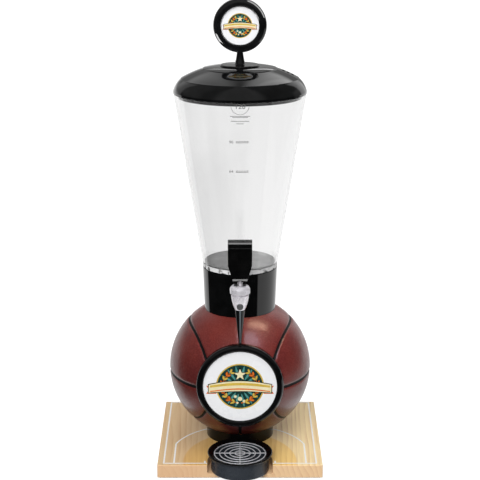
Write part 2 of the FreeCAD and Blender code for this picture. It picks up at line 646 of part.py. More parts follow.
build()
check()
os.makedirs("parts", exist_ok=True)
for node, thing in pieces.items():
    thing.Shape.exportStep(f"parts/{node}.step")
    print(f"{node}: {thing.Shape.Volume / 1000:.2f} cm3, solids {len(thing.Shape.Solids)}")
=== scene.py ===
"""Looks of the table-top drinks tower: materials, the pebbled ball, printed marks, emblems and studio."""
import json
import math

import bmesh
import bpy
from mathutils import Matrix, Vector


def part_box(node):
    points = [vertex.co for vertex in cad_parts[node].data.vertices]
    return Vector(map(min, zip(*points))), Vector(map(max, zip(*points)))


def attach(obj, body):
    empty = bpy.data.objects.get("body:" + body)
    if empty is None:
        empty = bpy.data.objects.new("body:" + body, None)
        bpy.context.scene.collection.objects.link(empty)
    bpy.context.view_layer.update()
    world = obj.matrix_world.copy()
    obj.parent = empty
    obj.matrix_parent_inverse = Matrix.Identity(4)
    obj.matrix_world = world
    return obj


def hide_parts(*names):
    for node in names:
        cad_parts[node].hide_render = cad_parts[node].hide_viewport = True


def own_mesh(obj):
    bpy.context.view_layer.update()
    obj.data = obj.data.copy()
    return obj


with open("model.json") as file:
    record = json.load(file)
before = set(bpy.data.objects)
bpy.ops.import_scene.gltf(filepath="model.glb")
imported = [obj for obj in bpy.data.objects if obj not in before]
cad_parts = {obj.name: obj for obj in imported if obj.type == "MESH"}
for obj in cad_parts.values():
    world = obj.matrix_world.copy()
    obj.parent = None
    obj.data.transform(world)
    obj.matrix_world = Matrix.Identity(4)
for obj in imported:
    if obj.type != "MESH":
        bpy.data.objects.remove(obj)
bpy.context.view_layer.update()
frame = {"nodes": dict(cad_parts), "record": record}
nodes = frame["nodes"]
MM = 0.001
# How bright the white backdrop shows through clear plastic, when the camera sees it as 1.
THROUGH = 0.74
bpy.context.scene.view_settings.view_transform = "Standard"


# ---- sizes read from the frame ----

def middle(node):
    """The centre of a node's box."""
    low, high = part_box(node)
    return (low + high) / 2


BALL_CENTRE = Vector((0, 0, middle("badge_bezel").z))
BALL_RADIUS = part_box("ball_shell")[1].x
BEZEL_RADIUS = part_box("badge_bezel")[1].x
COLLAR_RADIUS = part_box("collar")[1].x
BOARD_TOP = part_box("court_board")[1].z
VESSEL_LOW, VESSEL_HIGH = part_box("vessel")
LEDGE_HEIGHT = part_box("floor_gasket")[0].z


# ---- node helpers ----

class Nodes:
    """Short calls that build a node tree."""

    def __init__(self, tree):
        self.tree = tree

    def node(self, kind, **settings):
        made = self.tree.nodes.new("ShaderNode" + kind)
        for key, value in settings.items():
            setattr(made, key, value)
        return made

    def link(self, output, socket):
        self.tree.links.new(output, socket)

    def feed(self, made, index, source):
        """Give an input a constant or link it."""
        if hasattr(source, "is_linked"):
            self.link(source, made.inputs[index])
        else:
            made.inputs[index].default_value = source

    def maths(self, operation, *sources):
        made = self.node("Math", operation=operation)
        for index, source in enumerate(sources):
            self.feed(made, index, source)
        return made.outputs[0]


class Surface(Nodes):
    """A Principled material with short calls for the nodes that vary it."""

    def __init__(self, name, colour, roughness, **sockets):
        self.material = bpy.data.materials.new(name)
        self.material.use_nodes = True
        super().__init__(self.material.node_tree)
        self.shader = self.tree.nodes["Principled BSDF"]
        self.shader.inputs["Base Color"].default_value = (*colour, 1)
        self.shader.inputs["Roughness"].default_value = roughness
        for socket, value in sockets.items():
            self.shader.inputs[socket.replace("_", " ").title().replace("Ior", "IOR")].default_value = value

    def place(self, scale=(1, 1, 1), shift=(0, 0, 0)):
        """The point on the object, in metres of the frame, scaled along each axis."""
        coordinates = self.node("TexCoord")
        mapping = self.node("Mapping")
        mapping.inputs["Location"].default_value = shift
        mapping.inputs["Scale"].default_value = scale
        self.link(coordinates.outputs["Object"], mapping.inputs["Vector"])
        return mapping.outputs["Vector"]

    def axes(self, vector=None):
        split = self.node("SeparateXYZ")
        self.link(vector or self.place(), split.inputs[0])
        return split.outputs

    def noise(self, scale, detail=3, roughness=0.55, vector=None, distortion=0):
        made = self.node("TexNoise")
        made.inputs["Scale"].default_value = scale
        made.inputs["Detail"].default_value = detail
        made.inputs["Roughness"].default_value = roughness
        made.inputs["Distortion"].default_value = distortion
        self.link(vector or self.place(), made.inputs["Vector"])
        return made.outputs[0]

    def cells(self, scale, vector=None, feature="F1", output=0):
        made = self.node("TexVoronoi", feature=feature)
        made.inputs["Scale"].default_value = scale
        self.link(vector or self.place(), made.inputs["Vector"])
        return made.outputs[output]

    def spread(self, source, low, high, start=0.0, end=1.0):
        """Map start..end to low..high, clamped."""
        made = self.node("MapRange")
        for index, value in enumerate((source, start, end, low, high)):
            self.feed(made, index, value)
        return made.outputs[0]

    def blend(self, factor, first, second, mode="MIX"):
        made = self.node("Mix", data_type="RGBA", blend_type=mode)
        self.feed(made, 0, factor)
        for index, colour in ((6, first), (7, second)):
            self.feed(made, index, colour if hasattr(colour, "is_linked") else (*colour, 1))
        return made.outputs[2]

    def attribute(self, name):
        return self.node("Attribute", attribute_name=name).outputs["Fac"]

    def colour(self, source):
        self.link(source, self.shader.inputs["Base Color"])

    def rough(self, source):
        self.link(source, self.shader.inputs["Roughness"])

    def bump(self, height, distance, strength=1.0, edge=0.0):
        """A bump in metres; edge rounds the look of sharp corners by that radius."""
        made = self.node("Bump")
        made.inputs["Distance"].default_value = distance
        made.inputs["Strength"].default_value = strength
        self.link(height, made.inputs["Height"])
        if edge:
            corner = self.node("Bevel", samples=4)
            corner.inputs["Radius"].default_value = edge
            self.link(corner.outputs[0], made.inputs["Normal"])
        self.link(made.outputs[0], self.shader.inputs["Normal"])


# ---- materials ----

# A black moulding's colour and its paler flow marks.
BLACK, DARK = (0.0016, 0.0017, 0.0018), (0.004, 0.0042, 0.0045)


def moulded_black(name, colour, roughness, lighter, edge, black_above=1.0, gloss=0.5):
    """Polished moulding: faint flow waves, handling smears and dust; plain black above a height."""
    skin = Surface(name, colour, roughness, specular_ior_level=gloss)
    smear = skin.noise(34, 5, 0.62, distortion=0.9)
    skin.rough(skin.spread(smear, roughness * 0.7, roughness * 1.6, 0.3, 0.75))
    specks = skin.spread(skin.cells(900), 1, 0, 0.02, 0.09)
    dust = skin.maths("MULTIPLY", specks, skin.spread(skin.noise(25, 2), 0, 0.5, 0.45, 0.7))
    cloud = skin.spread(skin.noise(70, 3), 0, 1, 0.35, 0.7)
    above = skin.spread(skin.axes()[2], 0, 1, black_above - 0.3 * MM, black_above + 0.3 * MM)
    body = skin.blend(above, skin.blend(cloud, colour, lighter), BLACK)
    skin.colour(skin.blend(dust, body, tuple(c * 3 + 0.006 for c in lighter)))
    skin.bump(skin.noise(48, 2), 0.01 * MM, edge=edge)
    return skin.material


def brushed_metal(name, colour, darker, roughness, grain=0.03 * MM, edge=0.0, metallic=1.0):
    """Cast and plated metal: cloudy sheen, fine grain and duller, darker spots."""
    metal = Surface(name, colour, roughness, metallic=metallic)
    cloud = metal.noise(110, 5, 0.6)
    metal.rough(metal.spread(cloud, roughness * 0.7, roughness * 1.5, 0.3, 0.7))
    metal.colour(metal.blend(metal.spread(metal.noise(240, 4, 0.65), 0, 1, 0.4, 0.72), colour, darker))
    metal.bump(metal.noise(900, 3), grain, edge=edge)
    return metal.material


def rubber(name):
    """Dull rubber with dust on it."""
    skin = Surface(name, (0.018, 0.018, 0.019), 0.75)
    skin.rough(skin.spread(skin.noise(300, 4), 0.62, 0.86, 0.3, 0.7))
    dust = skin.spread(skin.noise(60, 4), 0, 1, 0.35, 0.7)
    skin.colour(skin.blend(dust, (0.013,) * 3, (0.03, 0.03, 0.032)))
    skin.bump(skin.noise(1500, 2), 0.08 * MM)
    return skin.material


def clear_plastic():
    """Clear moulding with the faint waviness of its wall, greyer at the lower left and low down with streaks
    as a painted shade; the foot is milky.
    """
    grey_left, clear_right = -45 * MM, 25 * MM
    grey_below, clear_above = 425 * MM, 470 * MM
    clear = Surface("clear_moulding", (1, 1, 1), 0.02, ior=1.4, transmission_weight=1.0)
    foot = clear.spread(clear.axes()[2], 1, 0, LEDGE_HEIGHT + 2.0 * MM, LEDGE_HEIGHT + 2.6 * MM)
    wavy = clear.spread(clear.noise(26, 4), 0.008, 0.035, 0.35, 0.75)
    frost = clear.spread(clear.noise(160, 4), 0.18, 0.42, 0.35, 0.7)
    clear.rough(clear.maths("ADD", wavy, clear.maths("MULTIPLY", frost, foot)))
    # Painted shade: the wall's colour greys towards the lower left and below a height, with vertical streaks,
    # standing in for shade on the clear wall.
    across = clear.spread(clear.axes()[0], 0, 1, grey_left, clear_right)
    shade_streak = clear.spread(clear.noise(26, 3, vector=clear.place((1, 1, 0.06))), -0.35, 0.35, 0.3, 0.7)
    lift = clear.spread(clear.axes()[2], 0, 0.8, grey_below, clear_above)
    side = clear.maths("ADD", clear.maths("MAXIMUM", across, lift), shade_streak)
    clear.colour(clear.blend(side, (0.916, 0.916, 0.916), (0.995, 0.995, 0.995)))
    specks = clear.spread(clear.noise(210, 2), 1, 0, 0.56, 0.6)
    milky = clear.maths("MULTIPLY", clear.maths("MULTIPLY", foot, specks), 0.95)
    clear.link(clear.maths("SUBTRACT", 1.0, milky), clear.shader.inputs["Transmission Weight"])
    clear.bump(clear.noise(18, 2), 0.04 * MM)
    return clear.material


def printed_card(name, colour, other, roughness=0.2):
    """Ink or card under a clear gloss film: slight print mottle and film waviness."""
    card = Surface(name, colour, roughness, coat_weight=0.4, coat_roughness=0.08)
    mottle = card.spread(card.noise(140, 5, 0.6), 0, 1, 0.3, 0.7)
    card.colour(card.blend(mottle, colour, other))
    card.rough(card.spread(card.noise(70, 4), roughness * 0.8, roughness * 1.6, 0.3, 0.7))
    card.bump(card.noise(1600, 2), 0.008 * MM)
    return card.material


def lacquered_wood():
    """Glued staves with growth rings about a pith below each; the court's key is stained darker; painted
    shade darkens the left, and the sides are painted lighter and oranger, partly as edge-grain colour.
    """
    stave_wide, stave_shift, ring_gap = 78 * MM, 31 * MM, 7.5 * MM
    wander, pith_deep = 52 * MM, 30 * MM
    key_half, key_deep, key_from = 81 * MM, 100 * MM, 105 * MM
    wood = Surface("lacquered_wood", (0.7, 0.5, 0.28), 0.34, ior=1.4, coat_weight=0.06, coat_roughness=0.16)
    x, y, z = wood.axes()
    stave = wood.maths("FLOOR", wood.maths("MULTIPLY", wood.maths("ADD", x, stave_shift), 1 / stave_wide))
    pick = wood.node("TexWhiteNoise", noise_dimensions="1D")
    wood.link(stave, pick.inputs["W"])
    chance = pick.outputs["Value"]
    warp = wood.noise(9, 3, 0.5, wood.place((1, 0.22, 1)))
    pith = wood.maths("MULTIPLY", wood.maths("ADD", stave, wood.maths("SUBTRACT", chance, 0.5)), stave_wide)
    across = wood.maths("ADD", wood.maths("SUBTRACT", x, pith), wood.maths("MULTIPLY", warp, wander))
    depth = wood.maths("ADD", z, wood.maths("MULTIPLY", chance, pith_deep))
    from_pith = wood.maths("SQRT", wood.maths("ADD", wood.maths("MULTIPLY", across, across),
                                              wood.maths("MULTIPLY", depth, depth)))
    year = wood.maths("FRACT", wood.maths("MULTIPLY", from_pith, 1 / ring_gap))
    late = wood.maths("MULTIPLY", wood.maths("POWER", wood.spread(year, 0, 1), 2.0),
                      wood.spread(wood.noise(30, 4, 0.6, wood.place((1, 0.16, 1))), 0.05, 1, 0.38, 0.66))
    pores = wood.noise(520, 5, 0.62, wood.place((1, 0.03, 0.6)))
    fleck = wood.spread(pores, 0, 0.55, 0.5, 0.78)
    # Painted shade: the wood darkens towards the left (-x), standing in for the ball's shadow; on top of that
    # each stave has its own random tone.
    shade_and_stave_tone = wood.maths("ADD", wood.spread(x, 0.75, 0, -80 * MM, 80 * MM), wood.maths("MULTIPLY", chance, 0.3))
    pale = wood.blend(shade_and_stave_tone, (0.97, 0.77, 0.43), (0.69, 0.46, 0.245))
    ringed = wood.blend(wood.maths("MULTIPLY", late, 0.62), pale, (0.56, 0.29, 0.12))
    grained = wood.blend(wood.maths("MULTIPLY", fleck, 0.4), ringed, (0.42, 0.235, 0.11))
    key_x = wood.maths("MULTIPLY", x, 1 / key_half)
    key_y = wood.maths("MULTIPLY", wood.maths("ADD", y, key_from), 1 / key_deep)
    key = wood.maths("ADD", wood.maths("MULTIPLY", key_x, key_x), wood.maths("MULTIPLY", key_y, key_y))
    on_top = wood.spread(z, 0, 1, BOARD_TOP - 0.6 * MM, BOARD_TOP - 0.2 * MM)
    stain = wood.maths("MULTIPLY", wood.spread(key, 0.85, 0, 0.97, 1.03), on_top)
    stained = wood.blend(stain, grained, wood.blend(1.0, grained, (1.0, 0.85, 0.49), "MULTIPLY"))
    # The sides and front edge mix halfway to a lighter orange: partly the colour of edge grain, partly
    # painted light making up for the weaker light on the upright faces.
    beside = wood.maths("MULTIPLY", wood.spread(on_top, 1, 0), 0.5)
    wood.colour(wood.blend(beside, stained, (0.98, 0.60, 0.37)))
    wood.rough(wood.spread(pores, 0.27, 0.45, 0.3, 0.7))
    wood.bump(wood.maths("ADD", wood.maths("MULTIPLY", late, 0.5), pores), 0.07 * MM)
    return wood.material


def ball_skin():
    """Pebbled maroon cover with a thin gloss coat, black beside the seams."""
    skin = Surface("ball_skin", (0.11, 0.02, 0.017), 0.4, ior=1.38, coat_weight=0.22, coat_roughness=0.17)
    seam = skin.spread(skin.attribute("seam"), 1, 0, 2.0 * MM, 2.5 * MM)
    pebbles = skin.cells(560, feature="SMOOTH_F1")
    patch = skin.noise(13, 3)
    hide = skin.blend(skin.spread(patch, 0, 1, 0.35, 0.68), (0.120, 0.017, 0.012), (0.075, 0.011, 0.011))
    worn = skin.blend(skin.spread(pebbles, 0.35, 0, 0.1, 0.5), hide, (0.22, 0.05, 0.042))
    skin.colour(skin.blend(seam, worn, (0.002, 0.002, 0.002)))
    leather = skin.spread(skin.noise(60, 4), 0.28, 0.42, 0.3, 0.7)
    skin.rough(skin.maths("ADD", leather, skin.maths("MULTIPLY", seam, 0.15)))
    raised = skin.maths("MULTIPLY", skin.spread(pebbles, 1, 0, 0.0, 0.7), skin.spread(seam, 1, 0.15))
    skin.bump(skin.maths("ADD", raised, skin.maths("MULTIPLY", skin.noise(1500, 2), 0.25)), 0.16 * MM)
    return skin.material


def seam_rubber():
    """Dull black rubber laid in the ball's grooves."""
    skin = Surface("seam_rubber", (0.003, 0.003, 0.003), 0.6, specular_ior_level=0.2)
    skin.rough(skin.spread(skin.noise(400, 3), 0.5, 0.75, 0.3, 0.7))
    skin.colour(skin.blend(skin.spread(skin.noise(90, 3), 0, 1, 0.35, 0.7), (0.002,) * 3, (0.006,) * 3))
    skin.bump(skin.noise(1200, 2), 0.06 * MM)
    return skin.material


MATERIALS = {
    "pad_rubber": rubber("pad_rubber"),
    "seal_rubber": rubber("seal_rubber"),
    "board_wood": lacquered_wood(),
    "black_gloss": moulded_black("black_moulding", BLACK, 0.045, DARK, edge=0.4 * MM),
    "handle_black": moulded_black("handle_moulding", (0.0012, 0.0012, 0.0012), 0.1, (0.003, 0.003, 0.003),
                                  edge=0.8 * MM),
    "tray_black": moulded_black("tray_moulding", (0.035, 0.041, 0.050), 0.25, (0.046, 0.053, 0.064),
                                edge=0.5 * MM, black_above=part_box("tray_cup")[1].z - 3.2 * MM, gloss=0.25),
    "screw_grey": brushed_metal("screw_finish", (0.13, 0.13, 0.135), (0.07, 0.07, 0.07), 0.4, edge=0.3 * MM,
                                metallic=0.2),
    "ball_skin": ball_skin(),
    "white_print": printed_card("printed_white", (0.95, 0.96, 0.98), (0.965, 0.97, 0.985)),
    "clear_vessel": clear_plastic(),
    "steel": brushed_metal("zinc_steel", (0.5, 0.5, 0.51), (0.4, 0.4, 0.41), 0.24),
    "tap_chrome": brushed_metal("tap_plating", (0.95, 0.92, 0.96), (0.80, 0.77, 0.83), 0.3,
                                grain=0.06 * MM, edge=0.35 * MM, metallic=0.35),
    "grille_chrome": brushed_metal("grille_plating", (0.86, 0.86, 0.9), (0.7, 0.7, 0.74), 0.38, metallic=0.5),
}

for entry in frame["record"]["subparts"]:
    mesh = nodes[entry["node"]].data
    mesh.materials.clear()
    mesh.materials.append(MATERIALS[entry["material_slot"]])

# Three nodes look different from the rest of their slot.
nodes["tap_bonnet"].data.materials[0] = brushed_metal(
    "bonnet_plating", (0.79, 0.77, 0.81), (0.68, 0.66, 0.71), 0.3,
    grain=0.06 * MM, edge=0.35 * MM, metallic=0.35)
# The strainer plate is a black gloss disc coloured mid grey: a painted reflection of the bright light behind
# it that it mirrors.
nodes["strainer_plate"].data.materials[0] = moulded_black(
    "strainer_painted_reflection", (0.48, 0.48, 0.48), 0.12, (0.58, 0.58, 0.58), edge=0.3 * MM)
nodes["foot_ring"].data.materials[0] = moulded_black(
    "foot_moulding", BLACK, 0.12, DARK, edge=0.4 * MM, gloss=0.2)


# ---- mesh helpers ----

def new_piece(name, bm, materials, body, smooth=True):
    """Turn a bmesh into an object that rides on a body."""
    bmesh.ops.recalc_face_normals(bm, faces=bm.faces)
    mesh = bpy.data.meshes.new(name)
    bm.to_mesh(mesh)
    bm.free()
    for material in materials:
        mesh.materials.append(material)
    mesh.polygons.foreach_set("use_smooth", [smooth] * len(mesh.polygons))
    piece = bpy.data.objects.new(name, mesh)
    bpy.context.scene.collection.objects.link(piece)
    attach(piece, body)
    return piece


def extruded(bm, outline, low, high, material=0):
    """A closed plate over a flat outline, from one height to another in the local frame."""
    rings = [[bm.verts.new((x, y, height)) for x, y in outline] for height in (low, high)]
    faces = [bm.faces.new(ring) for ring in rings]
    count = len(outline)
    for index in range(count):
        after = (index + 1) % count
        faces.append(bm.faces.new((rings[0][index], rings[0][after], rings[1][after], rings[1][index])))
    for face in faces:
        face.material_index = material


def band(bm, left, right, low, high, material=0):
    """A closed strip between two rows of points."""
    count = len(left)
    rows = [[[bm.verts.new((x, y, height)) for x, y in side] for side in (left, right)]
            for height in (low, high)]
    (low_left, low_right), (high_left, high_right) = rows
    made = []
    for a in range(count - 1):
        b = a + 1
        made += [(low_left[a], low_left[b], low_right[b], low_right[a]),
                 (high_left[a], high_left[b], high_right[b], high_right[a]),
                 (low_left[a], low_left[b], high_left[b], high_left[a]),
                 (low_right[a], low_right[b], high_right[b], high_right[a])]
    for end in (0, count - 1):
        made.append((low_left[end], low_right[end], high_right[end], high_left[end]))
    for corners in made:
        bm.faces.new(corners).material_index = material


def circle(radius, centre=(0, 0), steps=96, start=0.0, sweep=2 * math.pi):
    """Points round a circle, or along an arc of it with both ends."""
    closed = abs(sweep - 2 * math.pi) < 1e-6
    count = steps if closed else steps + 1
    return [(centre[0] + radius * math.cos(start + sweep * i / steps),
             centre[1] + radius * math.sin(start + sweep * i / steps)) for i in range(count)]


# ---- ball ----

def seam_distance(point):
    """How far a point of the ball is from its nearest seam: the equator, the meridian or a side loop."""
    loop_angle, loop_sway, equator_drop = math.radians(55), math.radians(11), 4 * MM
    x, y, z = point
    around = (y * y - z * z) / max(y * y + z * z, 1e-9)
    loop = loop_angle + loop_sway * around
    off_loop = abs(math.acos(max(-1, min(1, abs(x) / BALL_RADIUS))) - loop) * BALL_RADIUS
    return min(abs(z + equator_drop), abs(x), off_loop)


def pebbled_ball():
    """The cover: a fine sphere with sunk seams, open under the badge, the collar and the foot ring."""
    seam_half, seam_deep = 2.3 * MM, 1.2 * MM
    groove_half, tuck, lip_deep = seam_half * 1.6, 8 * MM, 3 * MM
    refine = (5 * MM, 3.4 * MM)
    bm = bmesh.new()
    bmesh.ops.create_icosphere(bm, subdivisions=6, radius=BALL_RADIUS)
    flat = math.sqrt(BALL_RADIUS ** 2 - (BEZEL_RADIUS - 0.6 * MM) ** 2)
    mouth = math.sqrt(BALL_RADIUS ** 2 - (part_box("collar")[1].x - tuck) ** 2)
    sole = math.sqrt(BALL_RADIUS ** 2 - (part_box("foot_ring")[1].x - tuck) ** 2)
    for at, outward in (((0, -flat, 0), (0, -1, 0)), ((0, 0, mouth), (0, 0, 1)), ((0, 0, -sole), (0, 0, -1))):
        everything = bm.verts[:] + bm.edges[:] + bm.faces[:]
        bmesh.ops.bisect_plane(bm, geom=everything, plane_co=at, plane_no=outward, clear_outer=True)
    for reach in refine:
        near = [edge for edge in bm.edges if seam_distance((edge.verts[0].co + edge.verts[1].co) / 2) < reach]
        bmesh.ops.subdivide_edges(bm, edges=near, cuts=1, use_grid_fill=True)
    bmesh.ops.triangulate(bm, faces=[face for face in bm.faces if len(face.verts) > 4])
    layer = bm.verts.layers.float.new("seam")
    for vert in bm.verts:
        if not any(edge.is_boundary for edge in vert.link_edges):
            vert.co = vert.co.normalized() * BALL_RADIUS
        away = seam_distance(vert.co)
        vert[layer] = away
        if away < groove_half:
            depth = seam_deep * (1 - (away / groove_half) ** 2) ** 0.8
            vert.co *= 1 - depth / BALL_RADIUS
    for face in bm.faces:
        face.material_index = int(all(vert[layer] < seam_half for vert in face.verts))
    rim = [edge for edge in bm.edges if edge.is_boundary]
    lip = bmesh.ops.extrude_edge_only(bm, edges=rim)["geom"]
    for vert in (part for part in lip if isinstance(part, bmesh.types.BMVert)):
        vert.co *= 1 - lip_deep / BALL_RADIUS
    bmesh.ops.translate(bm, verts=bm.verts, vec=BALL_CENTRE)
    piece = new_piece("ball_cover", bm, [MATERIALS["ball_skin"], seam_rubber()], "tower")
    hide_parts("ball_shell")
    return piece


# ---- printed emblem: a roundel with rays, a wreath of grain, a star, bubbles and a level ribbon ----

INKS = {
    "gold": printed_card("ink_gold", (0.78, 0.55, 0.09), (0.62, 0.42, 0.07)),
    "green": printed_card("ink_green", (0.008, 0.035, 0.032), (0.012, 0.06, 0.052)),
    "teal": printed_card("ink_teal", (0.06, 0.27, 0.25), (0.11, 0.36, 0.33)),
    "orange": printed_card("ink_orange", (0.85, 0.20, 0.02), (0.72, 0.15, 0.02)),
    "cream": printed_card("ink_cream", (0.90, 0.78, 0.42), (0.93, 0.86, 0.60)),
    "black": printed_card("ink_black", (0.006, 0.006, 0.007), (0.012, 0.012, 0.012)),
}
INK = {name: index for index, name in enumerate(INKS)}


def leaf(centre, length, wide, turn, steps=14):
    """A pointed oval."""
    points = []
    for index in range(steps):
        way = 2 * math.pi * index / steps
        along = math.cos(way) * length / 2
        out = math.sin(way) * abs(math.sin(way)) ** 0.35 * wide / 2
        points.append((centre[0] + along * math.cos(turn) - out * math.sin(turn),
                       centre[1] + along * math.sin(turn) + out * math.cos(turn)))
    return points


def star(centre, radius):
    """A five-pointed star."""
    shape = []
    for index in range(10):
        reach = radius * (0.42 if index % 2 else 1)
        way = math.pi / 2 + math.pi * index / 5
        shape.append((centre[0] + reach * math.cos(way), centre[1] + reach * math.sin(way)))
    return shape


def ribbon(half, width, lift, margin):
    """The two edges of a level ribbon, bowed up in the middle and the same on both sides."""
    steps = 40
    upper, lower = [], []
    for index in range(steps + 1):
        x = -half - margin + 2 * (half + margin) * index / steps
        y = lift + 3.2 * math.cos(x / half * math.pi / 2)
        swell = 1 - 0.2 * (x / half) ** 2
        upper.append((x, y + width / 2 * swell + margin))
        lower.append((x, y - width / 2 * swell - margin))
    return upper, lower


def emblem(name, disc, size, faces_front, body):
    """Layers of ink on a disc's outer face; sizes are in millimetres of a roundel 57 across, times size."""
    bm = bmesh.new()
    step, sunk = 0.07, -0.05
    wreath, off_stalk, rays, ray_middle = 20.6, 2.7, 16, 17.5
    extruded(bm, circle(28.5), sunk, step, INK["gold"])
    extruded(bm, circle(27), sunk, 2 * step, INK["green"])
    for ray in range(rays):
        way = 2 * math.pi * (ray + 0.5) / rays
        beam = leaf((ray_middle * math.cos(way), ray_middle * math.sin(way)), 17, 2.6, way)
        extruded(bm, beam, step, 3 * step, INK["teal"])
    for side in (-1, 1):
        stalk = circle(wreath, (0, 0), 24, math.radians(-86), math.radians(140))
        for width, ink, layer in ((1.0, "black", 4), (0.5, "orange", 5)):
            outer, inner = ([(side * x * (1 + out / wreath), y * (1 + out / wreath)) for x, y in stalk]
                            for out in (width, -width))
            band(bm, outer, inner, 2 * step, layer * step, INK[ink])
        for grain in range(9):
            way = math.radians(-72 + 16 * grain)
            for sway in (-0.6, 0.6):
                turn = way + math.pi / 2 + sway
                at = (wreath * math.cos(way) + off_stalk * math.cos(turn),
                      wreath * math.sin(way) + off_stalk * math.sin(turn))
                for length, wide, ink, layer in ((6.6, 3.6, "black", 6), (5.6, 2.5, "gold", 7)):
                    ear = [(side * x, y) for x, y in leaf(at, length, wide, turn)]
                    shade = "orange" if ink == "gold" and grain % 2 else ink
                    extruded(bm, ear, 3 * step, layer * step, INK[shade])
    for x, y, radius in ((0, -15.5, 2.6), (-5.5, -12.5, 1.7), (5.2, -18.5, 1.9), (-3, -20.5, 1.3)):
        extruded(bm, circle(radius, (x, y), 24), 3 * step, 6 * step, INK["cream"])
    for radius, ink, layer in ((9.4, "black", 6), (7.4, "cream", 7)):
        extruded(bm, star((0, 15), radius), 3 * step, layer * step, INK[ink])
    notched = ((28, -9), (40, -9), (36.5, -4), (40, 1), (28, 1))
    for tail in (-1, 1):
        extruded(bm, [(tail * x, y) for x, y in notched], sunk, 4 * step, INK["orange"])
    for half, width, lift, margin, layer, ink in (
            (37, 12.5, -2.5, 0.9, 3, "black"), (37, 12.5, -2.5, 0, 4, "cream"),
            (35.5, 3.2, 0.1, 0, 5, "gold"), (35.5, 1.6, -6.1, 0, 5, "orange")):
        band(bm, *ribbon(half, width, lift, margin), layer * step, (layer + 5) * step, INK[ink])
    low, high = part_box(disc)
    side = -1 if faces_front else 1
    face = low.y if faces_front else high.y
    outward = Matrix(((-side, 0, 0), (0, 0, side), (0, 1, 0))).to_4x4()
    bmesh.ops.transform(bm, verts=bm.verts, matrix=outward @ Matrix.Diagonal((size, size, 1, 1)))
    bmesh.ops.scale(bm, verts=bm.verts, vec=(MM, MM, MM))
    bmesh.ops.translate(bm, verts=bm.verts, vec=(0, face, middle(disc).z))
    return new_piece(name, bm, list(INKS.values()), body, smooth=False)


# ---- court lines on the board ----

def court_lines():
    """White paint strips on the board, in millimetres: the border, the three-point arc and two ticks."""
    width, thick, sunk = 2.2, 0.12, 0.02
    side, front, back = 108.5, -111, 113
    pocket, tick_side, tick_long = 46.5, 50, 7.5
    bm = bmesh.new()

    def strip(points):
        left, right = [], []
        for index, point in enumerate(points):
            before, after = points[max(0, index - 1)], points[min(len(points) - 1, index + 1)]
            way = Vector((after[0] - before[0], after[1] - before[1])).normalized() * width / 2
            left.append((point[0] - way.y, point[1] + way.x))
            right.append((point[0] + way.y, point[1] - way.x))
        band(bm, left, right, 0, thick)

    for end in (-1, 1):
        strip([(end * side, front - width / 2), (end * side, back + width / 2)])
        strip([(end * (side - width / 2), front), (end * pocket, front)])
        strip([(end * tick_side, front + width / 2), (end * tick_side, front + tick_long)])
    strip([(width / 2 - side, back), (side - width / 2, back)])
    reach, corner, centre = 94, -45, -76
    radius = math.hypot(reach, corner - centre)
    opening = math.atan2(corner - centre, reach)
    arc = circle(radius, (0, centre), 90, opening, math.pi - 2 * opening)
    strip([(reach, front + width / 2)] + arc + [(-reach, front + width / 2)])
    bmesh.ops.scale(bm, verts=bm.verts, vec=(MM, MM, MM))
    bmesh.ops.translate(bm, verts=bm.verts, vec=(0, 0, BOARD_TOP - sunk * MM))
    paint = printed_card("court_paint", (0.96, 0.96, 0.95), (0.90, 0.89, 0.87), 0.35)
    new_piece("court_lines", bm, [paint], "tower", smooth=False)


# ---- fill marks printed on the vessel ----

def fill_marks():
    """Capacity numbers, ticks and plain bars in millimetres up from the foot, bent onto the vessel."""
    half_thick, stand_off = 0.04, 0.06
    bm = bmesh.new()

    def number(text, tall, x, z):
        letters = bpy.data.curves.new("number", "FONT")
        letters.body = text
        letters.size = tall * 1.4
        letters.extrude = half_thick
        letters.align_x = "CENTER"
        holder = bpy.data.objects.new("number", letters)
        bpy.context.scene.collection.objects.link(holder)
        bpy.context.view_layer.update()
        flat = bpy.data.meshes.new_from_object(holder)
        first = len(bm.verts)
        bm.from_mesh(flat)
        bm.verts.ensure_lookup_table()
        bmesh.ops.translate(bm, verts=bm.verts[first:], vec=(x, z, 0))
        bpy.data.objects.remove(holder)
        bpy.data.meshes.remove(flat)

    def bar(x, z, wide, tall):
        columns = 12
        left = [(x - wide / 2 + wide * i / columns, z) for i in range(columns + 1)]
        right = [(u, v - tall) for u, v in left]
        band(bm, left, right, -half_thick, half_thick)

    base = VESSEL_LOW.z / MM
    for text, rise in (("96", 195), ("64", 153)):
        number(text, 4.2, -12, rise - 0.4)
        for tick in range(5):
            bar(-4.2 + 3.6 * tick, rise + 2.6, 2.9, 0.8)
        bar(3, rise + 0.9, 17.3, 0.8)
    number("128", 7.0, 0, 243)
    hub = 247
    bowl = circle(12.5, (0, hub), 30, math.pi * 1.04, math.pi * 0.92)
    inside = [(x * 0.955, hub + (z - hub) * 0.955) for x, z in bowl]
    band(bm, bowl, inside, -half_thick, half_thick)
    for row, wide in ((232.8, 27), (231.4, 21), (226, 25), (222.6, 10)):
        bar(0, row, wide, 0.7)

    slope = (VESSEL_HIGH.x - COLLAR_RADIUS) / (VESSEL_HIGH.z - LEDGE_HEIGHT)
    for vert in bm.verts:
        x, rise, proud = vert.co
        height = (base + rise) * MM
        radius = COLLAR_RADIUS + slope * (height - LEDGE_HEIGHT) + stand_off * MM + proud * MM
        angle = x * MM / radius
        vert.co = (radius * math.sin(angle), -radius * math.cos(angle), height)
    ink = printed_card("mark_ink", (0.10, 0.10, 0.10), (0.22, 0.22, 0.22), 0.4)
    new_piece("fill_marks", bm, [ink], "tower", smooth=False)


